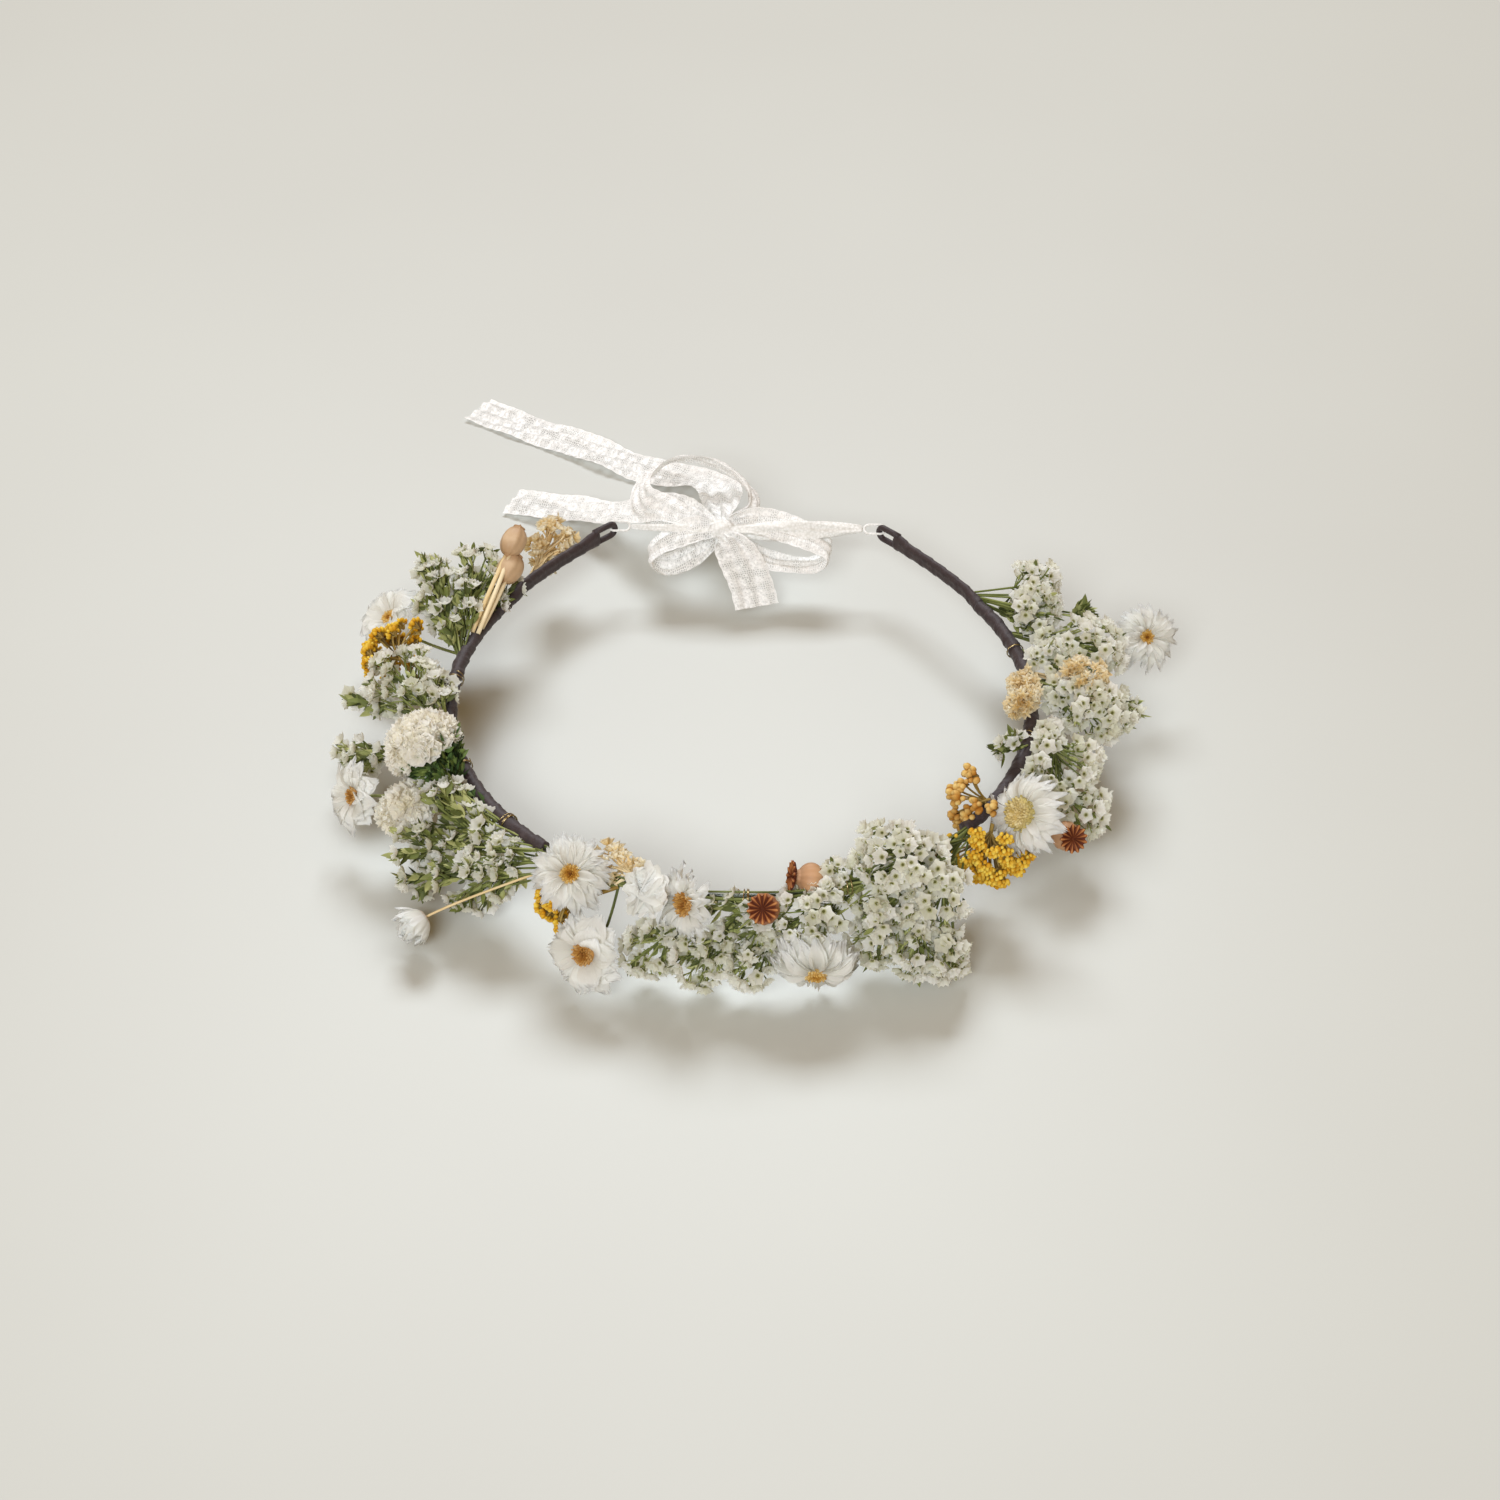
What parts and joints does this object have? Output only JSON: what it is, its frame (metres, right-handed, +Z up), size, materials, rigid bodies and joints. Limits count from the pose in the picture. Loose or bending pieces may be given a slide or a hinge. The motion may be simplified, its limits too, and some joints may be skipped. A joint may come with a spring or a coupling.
{
  "type": "flower crown",
  "caption": "Dried-flower crown: an open wire band wrapped in floral tape, covered with daisies, statice, yarrow and seed heads, and tied at the back with a lace ribbon bow.",
  "frame": {"origin": "middle of the crown's box in plan, on the surface that the crown lies on", "axes": "+Z up, +Y from the flowers at the front towards the ribbon at the back, +X towards the right of the crown seen from the front"},
  "size_m": [0.278, 0.3208, 0.0518],
  "materials": {
    "frame_wire": "dark green lacquered steel wire",
    "binding_wire": "fine drawn brass-coloured wire",
    "floral_tape": "dark brown waxed crepe paper tape",
    "lace_ribbon": "sheer white lace",
    "stem": "dried green stem",
    "daisy_disc": "dried yellow-brown disc florets",
    "daisy_petal": "dry papery white petals",
    "statice": "small papery white florets on green sprigs",
    "green_sprig": "dried green sprig",
    "pale_sprig": "dried pale yellow florets",
    "yarrow": "dried golden yarrow",
    "calyx": "dark green needle-like bracts",
    "cream_petal": "dry cream petals",
    "paper_petal": "dry papery white petals",
    "poppy": "dried brown seed capsule",
    "seed_urn": "dried straw-coloured seed urn"
  },
  "bodies": {
    "band": {"binding_wire": "binding_wire", "cream_bloom_calyx": "calyx", "cream_bloom_left": "cream_petal", "cream_bloom_left_lower": "cream_petal", "daisy_back_left": "daisy_petal", "daisy_back_right": "daisy_petal", "daisy_centres": "daisy_disc", "daisy_front": "daisy_petal", "daisy_front_left_lower": "daisy_petal", "daisy_front_left_upper": "daisy_petal", "daisy_front_lower": "daisy_petal", "daisy_left": "daisy_petal", "daisy_right": "daisy_petal", "daisy_stems": "stem", "frame_wire": "frame_wire", "front_stems": "stem", "green_sprig_back_right": "green_sprig", "pale_sprig_front": "pale_sprig", "pale_sprig_left_end": "pale_sprig", "pale_sprigs_right": "pale_sprig", "paper_bloom_front": "paper_petal", "paper_bloom_left": "paper_petal", "poppy_head_front": "poppy", "poppy_head_inner": "poppy", "poppy_head_right": "poppy", "seed_urn_lower": "seed_urn", "seed_urn_upper": "seed_urn", "statice_back_left": "statice", "statice_back_right": "statice", "statice_front": "statice", "statice_front_left": "statice", "statice_front_right_lower": "statice", "statice_front_right_upper": "statice", "statice_left_fan": "statice", "statice_left_lower": "statice", "statice_left_spread": "statice", "statice_left_upper": "statice", "statice_right_back": "statice", "statice_right_inner": "statice", "statice_right_outer": "statice", "tape_left_end": "floral_tape", "tape_left_front": "floral_tape", "tape_left_side": "floral_tape", "tape_right_end": "floral_tape", "tape_right_front": "floral_tape", "tape_right_side": "floral_tape", "yarrow_buds_right": "yarrow", "yarrow_front_left": "yarrow", "yarrow_left": "yarrow", "yarrow_right": "yarrow"},
    "bow": {"bow_loop_back": "lace_ribbon", "bow_loop_left": "lace_ribbon", "bow_loop_right": "lace_ribbon", "ribbon_eye_loops": "lace_ribbon", "ribbon_knot": "lace_ribbon", "ribbon_strand_left": "lace_ribbon", "ribbon_strand_right": "lace_ribbon", "ribbon_tail_front": "lace_ribbon", "ribbon_tail_long": "lace_ribbon", "ribbon_tail_short": "lace_ribbon"}
  },
  "joints": [
    {"name": "ribbon_swing", "type": "hinge", "parent": "band", "child": "bow", "pos_m": [0.04134, 0.04508, 0.02419], "axis": [-1, 0, 0], "range_deg": [-15, 75]}
  ]
}
